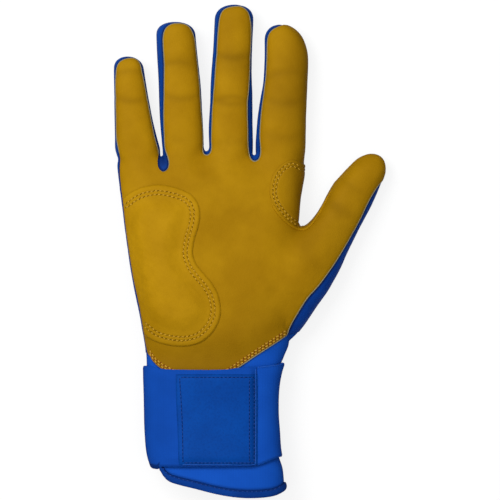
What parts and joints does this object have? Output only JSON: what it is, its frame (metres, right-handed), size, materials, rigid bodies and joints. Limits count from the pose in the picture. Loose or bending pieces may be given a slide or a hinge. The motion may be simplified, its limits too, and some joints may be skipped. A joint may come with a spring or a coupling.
{
  "type": "batting glove",
  "caption": "Right-hand leather batting glove with padded palm patches, side-walled fingers, a long cuff and a wrist strap that closes over the palm side.",
  "frame": {"origin": "on the surface it lies on, under the middle of its bounding box", "axes": "+Y towards the fingertips, +Z out of the palm, +X towards the thumb"},
  "size_m": [0.153, 0.2758, 0.0347],
  "materials": {
    "gold_leather": "smooth dyed sheepskin",
    "blue_leather": "smooth dyed leather",
    "blue_stretch": "ribbed stretch knit",
    "foam": "soft padding",
    "loop_tape": "brushed loop pile",
    "hook_tape": "moulded hook tape"
  },
  "bodies": {
    "root": {"palm_leather": "gold_leather", "heel_patch": "gold_leather", "heel_pad": "foam", "index_patch": "gold_leather", "crotch_piping": "gold_leather", "little_side_wall": "blue_leather", "little_ring_fourchette": "blue_leather", "ring_middle_fourchette": "blue_leather", "middle_index_fourchette": "blue_leather", "thumb_gusset": "blue_leather", "little_back": "blue_leather", "ring_back": "blue_leather", "middle_back": "blue_leather", "index_back": "blue_leather", "knuckle_flex_panel": "blue_stretch", "hand_back": "blue_leather", "thumb_back": "blue_leather", "wrist_elastic": "blue_stretch", "cuff_front": "blue_leather", "cuff_back": "blue_leather", "cuff_hem": "blue_leather", "strap_back": "blue_leather", "loop_patch": "loop_tape"},
    "strap_flap": {"strap_band": "blue_leather", "hook_patch": "hook_tape", "tab_panel": "blue_leather"}
  },
  "joints": [
    {"name": "strap_swing", "type": "hinge", "parent": "root", "child": "strap_flap", "pos_m": [-0.06145, -0.0929, 0.014], "axis": [0, -1, 0], "range_deg": [0, 150]}
  ]
}
